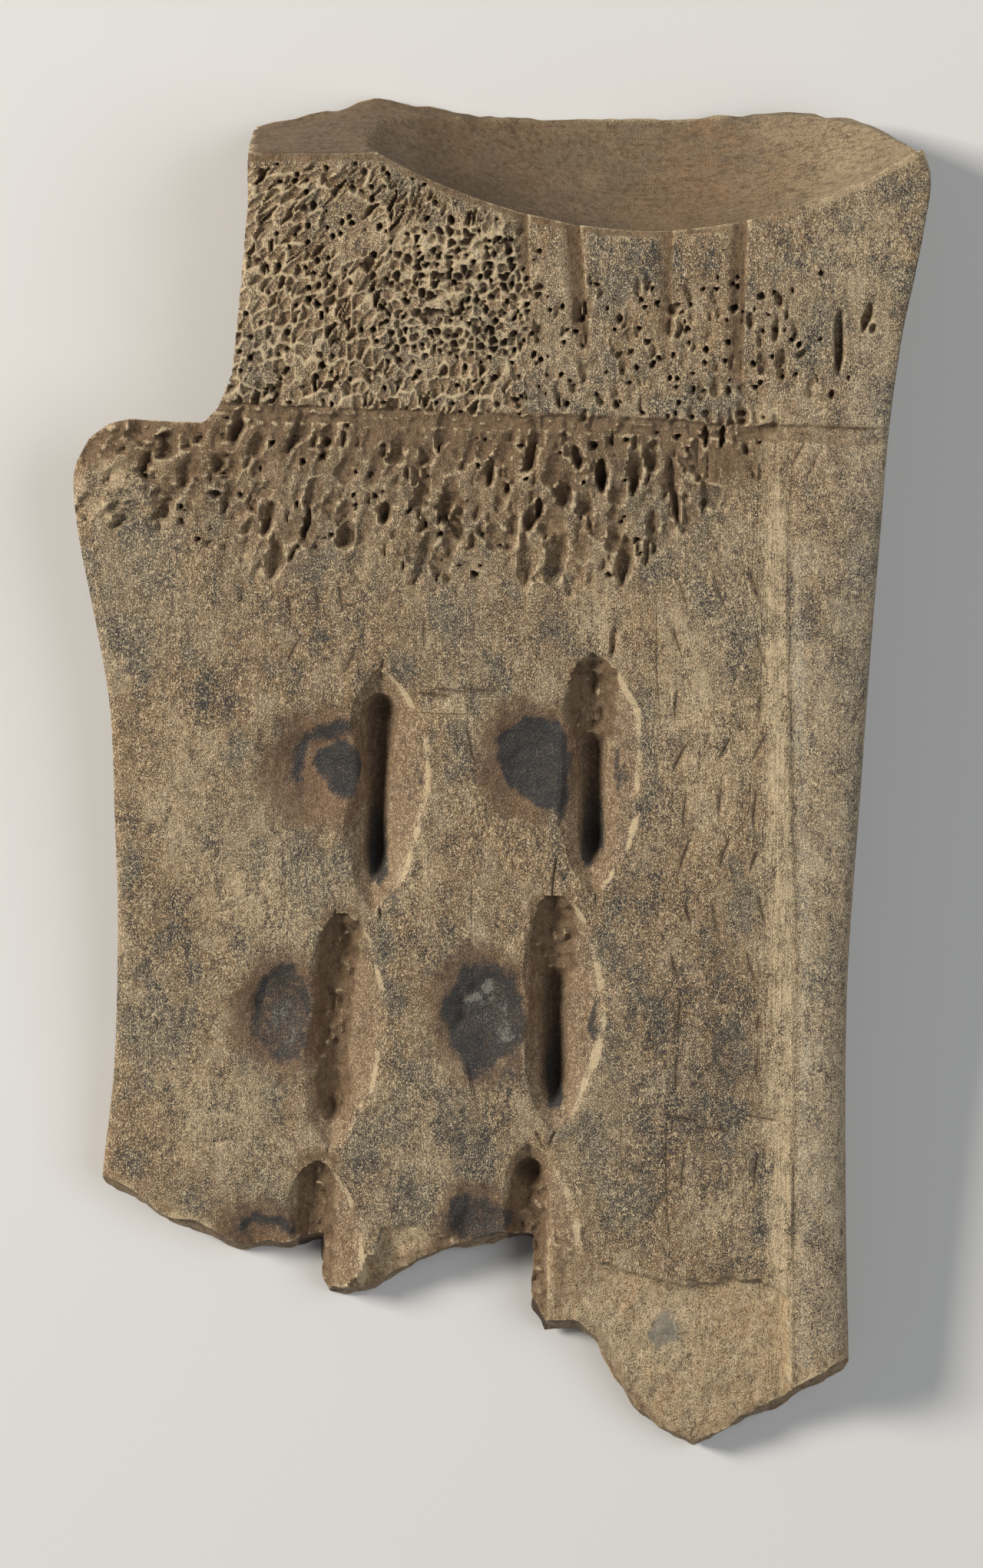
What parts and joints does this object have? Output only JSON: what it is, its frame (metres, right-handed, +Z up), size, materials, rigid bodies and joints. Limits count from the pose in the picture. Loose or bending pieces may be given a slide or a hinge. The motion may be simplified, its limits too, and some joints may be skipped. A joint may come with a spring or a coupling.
{
  "type": "oracle bone",
  "caption": "Socket end of an ox shoulder blade, sawn flat on one face, with chiselled and scorched hollows, shallow incised strokes and a broken end, lying on its back.",
  "frame": {"origin": "on the surface the bone lies on, under the middle of its outline", "axes": "+Y along the bone towards the socket, +Z up, with the worked face upwards, and +X to the thick border"},
  "size_m": [0.099, 0.162, 0.0281],
  "materials": {
    "bone": "matte"
  },
  "bodies": {
    "root": {"oracle_bone": "bone"}
  },
  "joints": []
}
